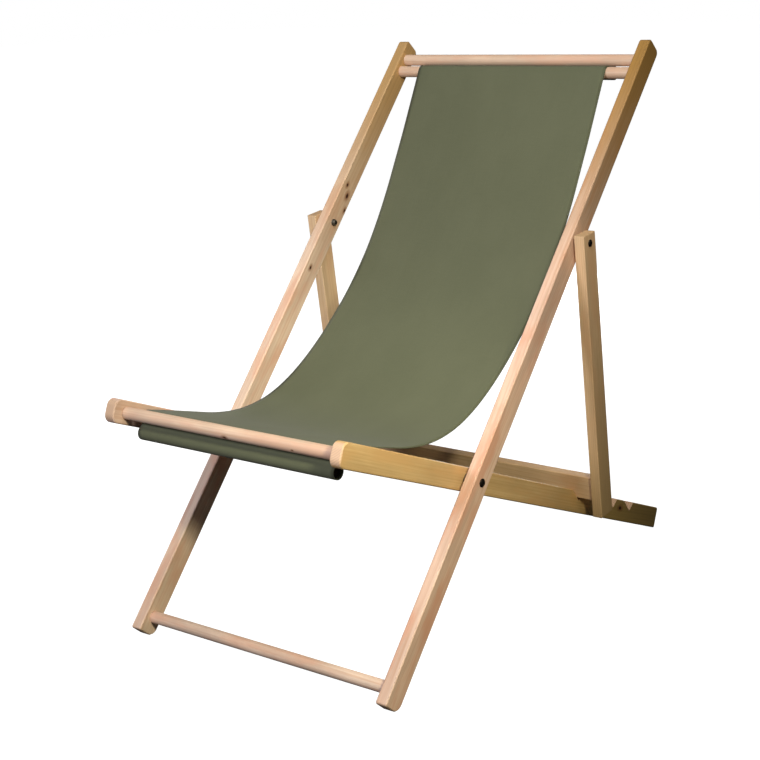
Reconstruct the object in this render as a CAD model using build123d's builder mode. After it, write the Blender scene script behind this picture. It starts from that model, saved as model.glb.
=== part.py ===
from build123d import *
import os
from math import acos, asin, atan2, cos, degrees, hypot, pi, radians, sin

os.makedirs("parts", exist_ok=True)

# Stock
rail_width = 22.0
rail_depth = 42.0
strut_width = 20.0
strut_depth = 40.0
rail_edge_bevel = 1.8
strut_edge_bevel = 1.0
rail_half_depth = rail_depth / 2
strut_half_depth = strut_depth / 2

# Widths, from the middle out
back_outer_half = 287.0
frame_gap = 9.0
strut_gap = 6.0
back_inner_half = back_outer_half - rail_width
seat_outer_half = back_inner_half - frame_gap
seat_inner_half = seat_outer_half - rail_width
strut_inner_half = back_outer_half + strut_gap
strut_outer_half = strut_inner_half + strut_width

# Lengths measured from the main pivot
back_upper_length = 903.5
back_lower_length = 404.0
seat_front_length = 351.0
seat_rear_length = 736.0
top_dowel_inset = 34.7
foot_dowel_inset = 32.5
front_dowel_inset = 29.5
rear_dowel_inset = 36.0
dowel_pair_spacing = 28.8
top_dowel_at = back_upper_length - top_dowel_inset
top_guide_at = top_dowel_at - dowel_pair_spacing
foot_dowel_at = back_lower_length - foot_dowel_inset
front_dowel_at = seat_front_length - front_dowel_inset
front_guide_at = front_dowel_at - dowel_pair_spacing
rear_dowel_at = seat_rear_length - rear_dowel_inset
strut_pivot_at = 474.0
strut_top_length = 16.7
strut_lower_length = 525.0

# Stance
back_lean = radians(42.25)
foot_rear_round = 16.0
foot_front_round = 4.0
top_rear_round = 11.0
top_front_round = 8.0
nose_top_round = 14.0
nose_bottom_round = 14.0
tail_round = 4.0
floor_flat_cut = 1.2
foot_round_drop = (rail_half_depth - foot_rear_round) * sin(back_lean) + foot_rear_round
pivot_z = (back_lower_length - foot_rear_round) * cos(back_lean) + foot_round_drop - floor_flat_cut
seat_reach = hypot(seat_rear_length, rail_half_depth)
seat_slope = asin((pivot_z + floor_flat_cut) / seat_reach) - atan2(rail_half_depth, seat_rear_length)
nose_setback = (seat_front_length - nose_bottom_round) * cos(seat_slope)
front_reach = nose_setback + (rail_half_depth - nose_bottom_round) * sin(seat_slope) + nose_bottom_round
tail_setback = (seat_rear_length - tail_round) * cos(seat_slope)
rear_reach = tail_setback + (rail_half_depth - tail_round) * sin(seat_slope) + tail_round
pivot_y = -(rear_reach - front_reach) / 2

# Notches along the seat rails and the crossbar that sits in them
notch_count = 4
first_notch_at = 397.0
notch_pitch = 71.0
notch_depth = 18.0
notch_front_run = 30.0
notch_rear_run = 12.0
notch_overcut = 6.0
notch_floor = rail_half_depth - notch_depth
bar_height = 45.0
bar_thickness = 20.0
bar_seat_clearance = 0.2
bar_tenon_depth = 12.0
bar_tenon_height = 33.0
bar_tenon_thickness = 12.0
mortise_extra_depth = 1.0

# Dowels and rods
dowel_radius = 11.0
tenon_radius = 8.0
tenon_length = 15.5
socket_depth = 16.0
glue_clearance = 0.03
shoulder_clearance = 0.02
rod_end_chamfer = 0.8
rod_radius = 11.0
rod_end_inset = 6.0

# Sling
sling_half_width = 213.5
cloth = 1.6
cloth_clearance = 0.35
wrap_radius = dowel_radius + cloth_clearance + cloth / 2
loop_radius = rod_radius + cloth_clearance + cloth / 2
loop_free_angle = radians(40.0)
neck_distance = loop_radius + 2.6
neck_angle = acos(loop_radius / neck_distance)
top_rod_back = 19.8
front_roll_drop = 24.0
arc_steps = 10
loop_steps = 30
sag_shares = (
    (0.075, 0.030),
    (0.127, 0.0605),
    (0.180, 0.090),
    (0.235, 0.120),
    (0.300, 0.151),
    (0.370, 0.178),
    (0.450, 0.199),
    (0.530, 0.2115),
    (0.610, 0.2165),
    (0.680, 0.213),
    (0.740, 0.201),
    (0.790, 0.181),
    (0.835, 0.153),
    (0.875, 0.118),
    (0.910, 0.080),
    (0.945, 0.041),
)

# Hardware
run_clearance = 0.08
face_clearance = 0.1
pivot_shank_radius = 4.0
pivot_head_radius = 7.5
pivot_head_height = 4.0
pivot_washer_radius = 8.5
pivot_washer_thickness = 1.6
pivot_nut_height = 6.5
pivot_nut_flats = 13.0
strut_shank_radius = 3.0
strut_head_radius = 6.5
strut_head_height = 3.4
strut_washer_radius = 6.5
strut_washer_thickness = 1.4
strut_nut_height = 5.0
strut_nut_flats = 10.0
spacer_wall = 6.5
bolt_overhang = 2.0
strut_bolt_overhang = 1.5
bolt_end_chamfer = 0.6
nut_chamfer = 0.7
head_rim_share = 0.3
dome_mid_share = 0.84


def back_point(along, front):
    """Row y and z of a point given along the back rail and out of its front face."""
    y = pivot_y + along * sin(back_lean) - front * cos(back_lean)
    return (y, pivot_z + along * cos(back_lean) + front * sin(back_lean))


def seat_point(rearward, above):
    """Row y and z of a point given back along the seat rail and above its middle line."""
    y = pivot_y + rearward * cos(seat_slope) + above * sin(seat_slope)
    return (y, pivot_z - rearward * sin(seat_slope) + above * cos(seat_slope))


def turned(centre, radius, angle):
    return (centre[0] + radius * cos(angle), centre[1] + radius * sin(angle))


def side_points(points, distance):
    """Points a distance to the left of a line of points, with mitred corners."""
    shifted = []
    last = len(points) - 1
    for i, (y, z) in enumerate(points):
        before = points[max(i - 1, 0)]
        after = points[min(i + 1, last)]
        in_way = atan2(z - before[1], y - before[0]) if i > 0 else None
        out_way = atan2(after[1] - z, after[0] - y) if i < last else None
        in_way = out_way if in_way is None else in_way
        out_way = in_way if out_way is None else out_way
        turn = (out_way - in_way + pi) % (2 * pi) - pi
        shifted.append(turned((y, z), distance / cos(turn / 2), in_way + turn / 2 + pi / 2))
    return shifted


def arc_points(centre, radius, start, end, steps):
    span = (end - start) / steps
    return [turned(centre, radius, start + span * i) for i in range(steps + 1)]


def rail_plane(origin, direction, offset):
    base = Plane(origin=(0, origin[0], origin[1]), x_dir=(0, direction[0], direction[1]), z_dir=(1, 0, 0))
    return base.offset(offset)


pivot = (pivot_y, pivot_z)
back_up = (sin(back_lean), cos(back_lean))
seat_rearward = (cos(seat_slope), -sin(seat_slope))
strut_pivot = back_point(strut_pivot_at, 0)

# The crossbar stands square to the struts, with its front edge on the notch's front slope
# and its rear edge on the rear wall, so its place and the struts' tilt are found together
bar_seat = (first_notch_at, notch_floor + bar_height / 2)
for step in range(20):
    bar_centre = seat_point(*bar_seat)
    bar_tilt = atan2(strut_pivot[0] - bar_centre[0], strut_pivot[1] - bar_centre[1]) - seat_slope
    rear_run_share = notch_rear_run / notch_depth
    front_rise_share = notch_depth / notch_front_run
    edge_rise = bar_thickness * (cos(bar_tilt) * front_rise_share - sin(bar_tilt))
    edge_above = edge_rise / (1 + rear_run_share * front_rise_share)
    rear_edge = (first_notch_at + rear_run_share * edge_above, notch_floor + edge_above)
    bar_seat = (
        rear_edge[0] - bar_thickness / 2 * cos(bar_tilt) + bar_height / 2 * sin(bar_tilt),
        rear_edge[1] + bar_thickness / 2 * sin(bar_tilt) + bar_height / 2 * cos(bar_tilt) + bar_seat_clearance,
    )
bar_centre = seat_point(*bar_seat)
bar_reach = hypot(strut_pivot[0] - bar_centre[0], strut_pivot[1] - bar_centre[1])
strut_up = ((strut_pivot[0] - bar_centre[0]) / bar_reach, (strut_pivot[1] - bar_centre[1]) / bar_reach)
top_guide = back_point(top_guide_at, 0)
front_guide = seat_point(-front_guide_at, 0)
foot_block = rail_depth * 2
below = (Align.CENTER, Align.CENTER, Align.MAX)
overcut_share = (notch_depth + notch_overcut) / notch_depth

# Back rails
back_outline = [
    (-back_lower_length, -rail_half_depth),
    (back_upper_length, -rail_half_depth),
    (back_upper_length, rail_half_depth),
    (-back_lower_length, rail_half_depth),
]

with BuildPart() as back_rail_right:
    with BuildSketch(rail_plane(pivot, back_up, back_inner_half)):
        Polygon(*back_outline, align=None)
    extrude(amount=rail_width)
    fillet(back_rail_right.edges().filter_by(Axis.X).sort_by(Axis.Z)[0], radius=foot_rear_round)
    fillet(back_rail_right.edges().filter_by(Axis.X).sort_by(Axis.Y)[0], radius=foot_front_round)
    fillet(back_rail_right.edges().filter_by(Axis.X).sort_by(Axis.Z)[-1], radius=top_front_round)
    fillet(back_rail_right.edges().filter_by(Axis.X).sort_by(Axis.Y)[-1], radius=top_rear_round)
    chamfer(back_rail_right.faces().sort_by(Axis.X)[-1].edges(), length=rail_edge_bevel)
    chamfer(back_rail_right.faces().sort_by(Axis.X)[0].edges(), length=rail_edge_bevel)
    with BuildSketch(rail_plane(pivot, back_up, back_inner_half)):
        with Locations((top_dowel_at, 0), (top_guide_at, 0), (-foot_dowel_at, 0)):
            Circle(tenon_radius + glue_clearance)
    extrude(amount=socket_depth, mode=Mode.SUBTRACT)
    with BuildSketch(rail_plane(pivot, back_up, back_inner_half)):
        Circle(pivot_shank_radius + run_clearance)
        with Locations((strut_pivot_at, 0)):
            Circle(strut_shank_radius + run_clearance)
    extrude(amount=rail_width, mode=Mode.SUBTRACT)
    with Locations((back_inner_half, pivot_y - back_lower_length * sin(back_lean), 0)):
        Box(foot_block, foot_block, foot_block, align=below, mode=Mode.SUBTRACT)
back_rail_right.part.label = "back_rail_right"
export_step(back_rail_right.part, "parts/back_rail_right.step")

with BuildPart() as back_rail_left:
    mirror(back_rail_right.part, about=Plane.YZ)
back_rail_left.part.label = "back_rail_left"
export_step(back_rail_left.part, "parts/back_rail_left.step")

# Seat rails
seat_outline = [
    (-seat_front_length, -rail_half_depth),
    (seat_rear_length, -rail_half_depth),
    (seat_rear_length, rail_half_depth),
    (-seat_front_length, rail_half_depth),
]
notch_outline = [
    (0, notch_floor),
    (notch_rear_run * overcut_share, rail_half_depth + notch_overcut),
    (-notch_front_run * overcut_share, rail_half_depth + notch_overcut),
]

with BuildPart() as seat_rail_right:
    with BuildSketch(rail_plane(pivot, seat_rearward, seat_inner_half)):
        Polygon(*seat_outline, align=None)
    extrude(amount=rail_width)
    fillet(seat_rail_right.edges().filter_by(Axis.X).sort_by(Axis.Y)[0], radius=nose_bottom_round)
    fillet(seat_rail_right.edges().filter_by(Axis.X).sort_by(Axis.Z)[-1], radius=nose_top_round)
    fillet(seat_rail_right.edges().filter_by(Axis.X).sort_by(Axis.Y)[-1], radius=tail_round)
    chamfer(seat_rail_right.faces().sort_by(Axis.X)[-1].edges(), length=rail_edge_bevel)
    chamfer(seat_rail_right.faces().sort_by(Axis.X)[0].edges(), length=rail_edge_bevel)
    with BuildSketch(rail_plane(pivot, seat_rearward, seat_inner_half)):
        with Locations(*[(first_notch_at + notch_pitch * i, 0) for i in range(notch_count)]):
            Polygon(*notch_outline, align=None)
    extrude(amount=rail_width, mode=Mode.SUBTRACT)
    with BuildSketch(rail_plane(pivot, seat_rearward, seat_inner_half)):
        with Locations((-front_dowel_at, 0), (-front_guide_at, 0), (rear_dowel_at, 0)):
            Circle(tenon_radius + glue_clearance)
    extrude(amount=socket_depth, mode=Mode.SUBTRACT)
    with BuildSketch(rail_plane(pivot, seat_rearward, seat_inner_half)):
        Circle(pivot_shank_radius + run_clearance)
    extrude(amount=rail_width, mode=Mode.SUBTRACT)
    with Locations((seat_inner_half, pivot_y + rear_reach, 0)):
        Box(foot_block, foot_block, foot_block, align=below, mode=Mode.SUBTRACT)
seat_rail_right.part.label = "seat_rail_right"
export_step(seat_rail_right.part, "parts/seat_rail_right.step")

with BuildPart() as seat_rail_left:
    mirror(seat_rail_right.part, about=Plane.YZ)
seat_rail_left.part.label = "seat_rail_left"
export_step(seat_rail_left.part, "parts/seat_rail_left.step")

# Dowels of the back frame
with BuildPart() as top_dowel:
    with BuildSketch(rail_plane(pivot, back_up, 0)):
        with Locations((top_dowel_at, 0)):
            Circle(dowel_radius)
    extrude(amount=back_inner_half - shoulder_clearance, both=True)
    with BuildSketch(rail_plane(pivot, back_up, 0)):
        with Locations((top_dowel_at, 0)):
            Circle(tenon_radius)
    extrude(amount=back_inner_half + tenon_length, both=True)
top_dowel.part.label = "top_dowel"
export_step(top_dowel.part, "parts/top_dowel.step")

with BuildPart() as top_guide_dowel:
    with BuildSketch(rail_plane(pivot, back_up, 0)):
        with Locations((top_guide_at, 0)):
            Circle(dowel_radius)
    extrude(amount=back_inner_half - shoulder_clearance, both=True)
    with BuildSketch(rail_plane(pivot, back_up, 0)):
        with Locations((top_guide_at, 0)):
            Circle(tenon_radius)
    extrude(amount=back_inner_half + tenon_length, both=True)
top_guide_dowel.part.label = "top_guide_dowel"
export_step(top_guide_dowel.part, "parts/top_guide_dowel.step")

with BuildPart() as foot_dowel:
    with BuildSketch(rail_plane(pivot, back_up, 0)):
        with Locations((-foot_dowel_at, 0)):
            Circle(dowel_radius)
    extrude(amount=back_inner_half - shoulder_clearance, both=True)
    with BuildSketch(rail_plane(pivot, back_up, 0)):
        with Locations((-foot_dowel_at, 0)):
            Circle(tenon_radius)
    extrude(amount=back_inner_half + tenon_length, both=True)
foot_dowel.part.label = "foot_dowel"
export_step(foot_dowel.part, "parts/foot_dowel.step")

# Dowels of the seat frame
with BuildPart() as seat_front_dowel:
    with BuildSketch(rail_plane(pivot, seat_rearward, 0)):
        with Locations((-front_dowel_at, 0)):
            Circle(dowel_radius)
    extrude(amount=seat_inner_half - shoulder_clearance, both=True)
    with BuildSketch(rail_plane(pivot, seat_rearward, 0)):
        with Locations((-front_dowel_at, 0)):
            Circle(tenon_radius)
    extrude(amount=seat_inner_half + tenon_length, both=True)
seat_front_dowel.part.label = "seat_front_dowel"
export_step(seat_front_dowel.part, "parts/seat_front_dowel.step")

with BuildPart() as seat_guide_dowel:
    with BuildSketch(rail_plane(pivot, seat_rearward, 0)):
        with Locations((-front_guide_at, 0)):
            Circle(dowel_radius)
    extrude(amount=seat_inner_half - shoulder_clearance, both=True)
    with BuildSketch(rail_plane(pivot, seat_rearward, 0)):
        with Locations((-front_guide_at, 0)):
            Circle(tenon_radius)
    extrude(amount=seat_inner_half + tenon_length, both=True)
seat_guide_dowel.part.label = "seat_guide_dowel"
export_step(seat_guide_dowel.part, "parts/seat_guide_dowel.step")

with BuildPart() as seat_rear_dowel:
    with BuildSketch(rail_plane(pivot, seat_rearward, 0)):
        with Locations((rear_dowel_at, 0)):
            Circle(dowel_radius)
    extrude(amount=seat_inner_half - shoulder_clearance, both=True)
    with BuildSketch(rail_plane(pivot, seat_rearward, 0)):
        with Locations((rear_dowel_at, 0)):
            Circle(tenon_radius)
    extrude(amount=seat_inner_half + tenon_length, both=True)
seat_rear_dowel.part.label = "seat_rear_dowel"
export_step(seat_rear_dowel.part, "parts/seat_rear_dowel.step")

# Struts and the crossbar between them
with BuildPart() as strut_right:
    with BuildSketch(rail_plane(strut_pivot, strut_up, strut_inner_half)):
        with Locations(((strut_top_length - strut_lower_length) / 2, 0)):
            Rectangle(strut_top_length + strut_lower_length, strut_depth)
    extrude(amount=strut_width)
    chamfer(strut_right.faces().sort_by(Axis.X)[-1].edges(), length=strut_edge_bevel)
    chamfer(strut_right.faces().sort_by(Axis.X)[0].edges(), length=strut_edge_bevel)
    with BuildSketch(rail_plane(strut_pivot, strut_up, strut_inner_half)):
        with Locations((-bar_reach, 0)):
            Rectangle(bar_tenon_height + glue_clearance * 2, bar_tenon_thickness + glue_clearance * 2)
    extrude(amount=bar_tenon_depth + mortise_extra_depth, mode=Mode.SUBTRACT)
    with BuildSketch(rail_plane(strut_pivot, strut_up, strut_inner_half)):
        Circle(strut_shank_radius + run_clearance)
    extrude(amount=strut_width, mode=Mode.SUBTRACT)
strut_right.part.label = "strut_right"
export_step(strut_right.part, "parts/strut_right.step")

with BuildPart() as strut_left:
    mirror(strut_right.part, about=Plane.YZ)
strut_left.part.label = "strut_left"
export_step(strut_left.part, "parts/strut_left.step")

with BuildPart() as support_crossbar:
    with BuildSketch(rail_plane(strut_pivot, strut_up, 0)):
        with Locations((-bar_reach, 0)):
            Rectangle(bar_height, bar_thickness)
    extrude(amount=strut_inner_half - shoulder_clearance, both=True)
    chamfer(support_crossbar.edges().filter_by(Axis.X), length=strut_edge_bevel)
    with BuildSketch(rail_plane(strut_pivot, strut_up, 0)):
        with Locations((-bar_reach, 0)):
            Rectangle(bar_tenon_height, bar_tenon_thickness)
    extrude(amount=strut_inner_half + bar_tenon_depth, both=True)
support_crossbar.part.label = "support_crossbar"
export_step(support_crossbar.part, "parts/support_crossbar.step")

# Main pivot hardware, one solid each side
pivot_line = Axis((0, pivot_y, pivot_z), (1, 0, 0))
pivot_profile = Plane(origin=(0, pivot_y, pivot_z), x_dir=(1, 0, 0), z_dir=(0, -1, 0))
pivot_head_face = back_outer_half + face_clearance
pivot_washer_face = seat_inner_half - face_clearance
pivot_nut_face = pivot_washer_face - pivot_washer_thickness - shoulder_clearance
pivot_shank_end = pivot_nut_face - pivot_nut_height - bolt_overhang

with BuildPart() as pivot_bolts:
    with BuildSketch(pivot_profile):
        with BuildLine():
            Line((pivot_shank_end, 0), (pivot_head_face + pivot_head_height, 0))
            ThreePointArc(
                (pivot_head_face + pivot_head_height, 0),
                (pivot_head_face + pivot_head_height * dome_mid_share, pivot_head_radius / 2),
                (pivot_head_face + pivot_head_height * head_rim_share, pivot_head_radius),
            )
            Polyline(
                (pivot_head_face + pivot_head_height * head_rim_share, pivot_head_radius),
                (pivot_head_face, pivot_head_radius),
                (pivot_head_face, pivot_shank_radius),
                (pivot_shank_end + bolt_end_chamfer, pivot_shank_radius),
                (pivot_shank_end, pivot_shank_radius - bolt_end_chamfer),
                (pivot_shank_end, 0),
            )
        make_face()
    revolve(axis=pivot_line)
    mirror(about=Plane.YZ)
pivot_bolts.part.label = "pivot_bolts"
export_step(pivot_bolts.part, "parts/pivot_bolts.step")

with BuildPart() as pivot_spacers:
    with BuildSketch(Plane.YZ.offset(seat_outer_half + shoulder_clearance)):
        with Locations((pivot_y, pivot_z)):
            Circle(pivot_shank_radius + spacer_wall)
            Circle(pivot_shank_radius + run_clearance, mode=Mode.SUBTRACT)
    extrude(amount=frame_gap - shoulder_clearance - face_clearance)
    mirror(about=Plane.YZ)
pivot_spacers.part.label = "pivot_spacers"
export_step(pivot_spacers.part, "parts/pivot_spacers.step")

with BuildPart() as pivot_washers:
    with BuildSketch(Plane.YZ.offset(pivot_washer_face)):
        with Locations((pivot_y, pivot_z)):
            Circle(pivot_washer_radius)
            Circle(pivot_shank_radius + run_clearance, mode=Mode.SUBTRACT)
    extrude(amount=-pivot_washer_thickness)
    mirror(about=Plane.YZ)
pivot_washers.part.label = "pivot_washers"
export_step(pivot_washers.part, "parts/pivot_washers.step")

with BuildPart() as pivot_nuts:
    with BuildSketch(Plane.YZ.offset(pivot_nut_face)):
        with Locations((pivot_y, pivot_z)):
            RegularPolygon(pivot_nut_flats / 2, 6, major_radius=False)
    extrude(amount=-pivot_nut_height)
    chamfer(pivot_nuts.faces().sort_by(Axis.X)[0].edges(), length=nut_chamfer)
    with BuildSketch(Plane.YZ.offset(pivot_nut_face)):
        with Locations((pivot_y, pivot_z)):
            Circle(pivot_shank_radius + glue_clearance)
    extrude(amount=-pivot_nut_height, mode=Mode.SUBTRACT)
    mirror(about=Plane.YZ)
pivot_nuts.part.label = "pivot_nuts"
export_step(pivot_nuts.part, "parts/pivot_nuts.step")

# Strut pivot hardware, one solid each side
strut_line = Axis((0, strut_pivot[0], strut_pivot[1]), (1, 0, 0))
strut_profile = Plane(origin=(0, strut_pivot[0], strut_pivot[1]), x_dir=(1, 0, 0), z_dir=(0, -1, 0))
strut_head_face = strut_outer_half + face_clearance
strut_washer_face = back_inner_half - shoulder_clearance
strut_nut_face = strut_washer_face - strut_washer_thickness - shoulder_clearance
strut_shank_end = strut_nut_face - strut_nut_height - strut_bolt_overhang

with BuildPart() as strut_bolts:
    with BuildSketch(strut_profile):
        with BuildLine():
            Line((strut_shank_end, 0), (strut_head_face + strut_head_height, 0))
            ThreePointArc(
                (strut_head_face + strut_head_height, 0),
                (strut_head_face + strut_head_height * dome_mid_share, strut_head_radius / 2),
                (strut_head_face + strut_head_height * head_rim_share, strut_head_radius),
            )
            Polyline(
                (strut_head_face + strut_head_height * head_rim_share, strut_head_radius),
                (strut_head_face, strut_head_radius),
                (strut_head_face, strut_shank_radius),
                (strut_shank_end + bolt_end_chamfer, strut_shank_radius),
                (strut_shank_end, strut_shank_radius - bolt_end_chamfer),
                (strut_shank_end, 0),
            )
        make_face()
    revolve(axis=strut_line)
    mirror(about=Plane.YZ)
strut_bolts.part.label = "strut_bolts"
export_step(strut_bolts.part, "parts/strut_bolts.step")

with BuildPart() as strut_spacers:
    with BuildSketch(Plane.YZ.offset(back_outer_half + shoulder_clearance)):
        with Locations(strut_pivot):
            Circle(strut_shank_radius + spacer_wall)
            Circle(strut_shank_radius + run_clearance, mode=Mode.SUBTRACT)
    extrude(amount=strut_gap - shoulder_clearance - face_clearance)
    mirror(about=Plane.YZ)
strut_spacers.part.label = "strut_spacers"
export_step(strut_spacers.part, "parts/strut_spacers.step")

with BuildPart() as strut_washers:
    with BuildSketch(Plane.YZ.offset(strut_washer_face)):
        with Locations(strut_pivot):
            Circle(strut_washer_radius)
            Circle(strut_shank_radius + run_clearance, mode=Mode.SUBTRACT)
    extrude(amount=-strut_washer_thickness)
    mirror(about=Plane.YZ)
strut_washers.part.label = "strut_washers"
export_step(strut_washers.part, "parts/strut_washers.step")

with BuildPart() as strut_nuts:
    with BuildSketch(Plane.YZ.offset(strut_nut_face)):
        with Locations(strut_pivot):
            RegularPolygon(strut_nut_flats / 2, 6, major_radius=False)
    extrude(amount=-strut_nut_height)
    chamfer(strut_nuts.faces().sort_by(Axis.X)[0].edges(), length=nut_chamfer)
    with BuildSketch(Plane.YZ.offset(strut_nut_face)):
        with Locations(strut_pivot):
            Circle(strut_shank_radius + glue_clearance)
    extrude(amount=-strut_nut_height, mode=Mode.SUBTRACT)
    mirror(about=Plane.YZ)
strut_nuts.part.label = "strut_nuts"
export_step(strut_nuts.part, "parts/strut_nuts.step")

# Rods inside the sling's two hems
top_rod = back_point((top_dowel_at + top_guide_at) / 2, -top_rod_back)
front_rod = (front_guide[0] - wrap_radius, front_guide[1] - front_roll_drop)
rod_half_length = sling_half_width - rod_end_inset

with BuildPart() as sling_top_rod:
    with BuildSketch(Plane.YZ):
        with Locations(top_rod):
            Circle(rod_radius)
    extrude(amount=rod_half_length, both=True)
    chamfer(sling_top_rod.edges().filter_by(GeomType.CIRCLE), length=rod_end_chamfer)
sling_top_rod.part.label = "sling_top_rod"
export_step(sling_top_rod.part, "parts/sling_top_rod.step")

with BuildPart() as sling_front_rod:
    with BuildSketch(Plane.YZ):
        with Locations(front_rod):
            Circle(rod_radius)
    extrude(amount=rod_half_length, both=True)
    chamfer(sling_front_rod.edges().filter_by(GeomType.CIRCLE), length=rod_end_chamfer)
sling_front_rod.part.label = "sling_front_rod"
export_step(sling_front_rod.part, "parts/sling_front_rod.step")

# Sling: its middle line from the top hem to the front hem
chord = hypot(front_guide[0] - top_guide[0], front_guide[1] - top_guide[1])
chord_run = ((front_guide[0] - top_guide[0]) / chord, (front_guide[1] - top_guide[1]) / chord)
chord_drop = (-chord_run[1], chord_run[0])


def sag_point(share, drop_share):
    run = share * chord
    drop = drop_share * chord
    y = top_guide[0] + chord_run[0] * run + chord_drop[0] * drop
    return (y, top_guide[1] + chord_run[1] * run + chord_drop[1] * drop)


def touch_angle(centre, radius, point, side):
    """Angle at which the line from a point touches a circle, on the chosen side."""
    reach = hypot(point[0] - centre[0], point[1] - centre[1])
    facing = atan2(point[1] - centre[1], point[0] - centre[0])
    return facing + side * acos(radius / reach)


sag_points = [sag_point(share, drop_share) for share, drop_share in sag_shares]
top_neck_way = atan2(back_point(0, 1)[1] - pivot_z, back_point(0, 1)[0] - pivot_y)
top_neck = turned(top_rod, neck_distance, top_neck_way)
front_neck = turned(front_rod, neck_distance, pi / 2)
top_wrap_start = touch_angle(top_guide, wrap_radius, top_neck, 1)
top_wrap_end = touch_angle(top_guide, wrap_radius, sag_points[0], -1) + 2 * pi
guide_wrap_start = touch_angle(front_guide, wrap_radius, sag_points[-1], 1)

top_loop_start = top_neck_way + loop_free_angle
top_loop_end = top_neck_way - neck_angle + 2 * pi
top_loop = arc_points(top_rod, loop_radius, top_loop_start, top_loop_end, loop_steps)
top_wrap = arc_points(top_guide, wrap_radius, top_wrap_start, top_wrap_end, arc_steps)
guide_wrap = arc_points(front_guide, wrap_radius, guide_wrap_start, pi, arc_steps)
front_loop = arc_points(front_rod, loop_radius, pi / 2 + neck_angle, pi * 5 / 2 - loop_free_angle, loop_steps)
middle_line = top_loop + [top_neck] + top_wrap + sag_points + guide_wrap + [front_neck] + front_loop
sling_outline = side_points(middle_line, cloth / 2) + side_points(middle_line, -cloth / 2)[::-1]

with BuildPart() as sling:
    with BuildSketch(Plane.YZ):
        with BuildLine():
            Polyline(*sling_outline, close=True)
        make_face()
    extrude(amount=sling_half_width, both=True)
sling.part.label = "sling"
export_step(sling.part, "parts/sling.step")
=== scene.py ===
import math

import bpy
from mathutils import Matrix, Vector


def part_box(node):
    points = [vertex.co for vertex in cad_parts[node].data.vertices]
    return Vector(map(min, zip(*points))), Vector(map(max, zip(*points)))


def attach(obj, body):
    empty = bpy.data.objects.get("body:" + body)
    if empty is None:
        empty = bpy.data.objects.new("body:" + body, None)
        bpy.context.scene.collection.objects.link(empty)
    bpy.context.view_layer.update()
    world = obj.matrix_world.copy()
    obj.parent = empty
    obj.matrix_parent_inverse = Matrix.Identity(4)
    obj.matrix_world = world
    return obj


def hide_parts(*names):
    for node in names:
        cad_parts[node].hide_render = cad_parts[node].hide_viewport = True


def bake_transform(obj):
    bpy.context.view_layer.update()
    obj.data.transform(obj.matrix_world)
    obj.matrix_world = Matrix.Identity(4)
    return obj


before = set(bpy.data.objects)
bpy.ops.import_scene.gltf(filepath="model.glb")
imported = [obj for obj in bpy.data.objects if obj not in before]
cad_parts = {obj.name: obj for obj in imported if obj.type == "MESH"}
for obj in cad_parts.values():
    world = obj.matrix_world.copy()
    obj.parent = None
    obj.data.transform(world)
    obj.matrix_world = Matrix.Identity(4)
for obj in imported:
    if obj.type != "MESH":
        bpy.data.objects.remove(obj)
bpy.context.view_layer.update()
print("frame loaded:", len(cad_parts), "CAD nodes")

mm = 0.001

# Where the main lines of the chair run in the row frame, in millimetres
chair = {
    "pivot": (-178.790, 305.366),  # y and z of the bolts between the two frames
    "backLean": math.radians(42.25),
    "seatSlope": math.radians(22.9707),
    "strutLean": math.radians(-6.085),
    "topGuideAt": 840.0,  # along the back rails from the pivot
    "topDowelAt": 868.8,
    "frontGuideAt": -292.7,  # along the seat rails from the pivot
    "frontDowelAt": -321.5,
    "backInner": 265.0,  # inner faces of the back rails
    "seatOuter": 256.0,  # outer faces of the seat rails
}


def backPoint(along, front):
    lean = chair["backLean"]
    y = chair["pivot"][0] + along * math.sin(lean) - front * math.cos(lean)
    z = chair["pivot"][1] + along * math.cos(lean) + front * math.sin(lean)
    return (y, z)


def seatPoint(rearward, above):
    slope = chair["seatSlope"]
    y = chair["pivot"][0] + rearward * math.cos(slope) + above * math.sin(slope)
    z = chair["pivot"][1] - rearward * math.sin(slope) + above * math.cos(slope)
    return (y, z)


def inMetres(x, yz):
    return (x * mm, yz[0] * mm, yz[1] * mm)


def deselectAll():
    for item in bpy.context.selected_objects:
        item.select_set(False)


def makeActive(item):
    deselectAll()
    item.select_set(True)
    bpy.context.view_layer.objects.active = item


def smoothAll(item):
    for polygon in item.data.polygons:
        polygon.use_smooth = True


# Short ways to add shader nodes


def feed(tree, socket, value):
    # another node's output is linked, anything else is set on the socket itself
    if isinstance(value, bpy.types.NodeSocket):
        tree.links.new(value, socket)
    else:
        socket.default_value = value


def feedAll(tree, node, values):
    for name, value in values.items():
        feed(tree, node.inputs[name], value)


def addNode(tree, kind, **settings):
    node = tree.nodes.new(kind)
    for key, value in settings.items():
        setattr(node, key, value)
    return node


def addMath(tree, operation, a, b=None, clamp=False):
    node = addNode(tree, "ShaderNodeMath", operation=operation, use_clamp=clamp)
    feed(tree, node.inputs[0], a)
    if b is not None:
        feed(tree, node.inputs[1], b)
    return node.outputs[0]


def addVector(tree, operation, a, b=None):
    node = addNode(tree, "ShaderNodeVectorMath", operation=operation)
    feed(tree, node.inputs[0], a)
    if b is not None:
        feed(tree, node.inputs[1], b)
    return node.outputs["Value" if operation in ("LENGTH", "DOT_PRODUCT") else "Vector"]


def addMix(tree, share, a, b):
    node = addNode(tree, "ShaderNodeMix", data_type="RGBA")
    colours = [socket for socket in node.inputs if socket.type == "RGBA"]
    feed(tree, node.inputs[0], share)
    feed(tree, colours[0], a)
    feed(tree, colours[1], b)
    return [socket for socket in node.outputs if socket.type == "RGBA"][0]


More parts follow.
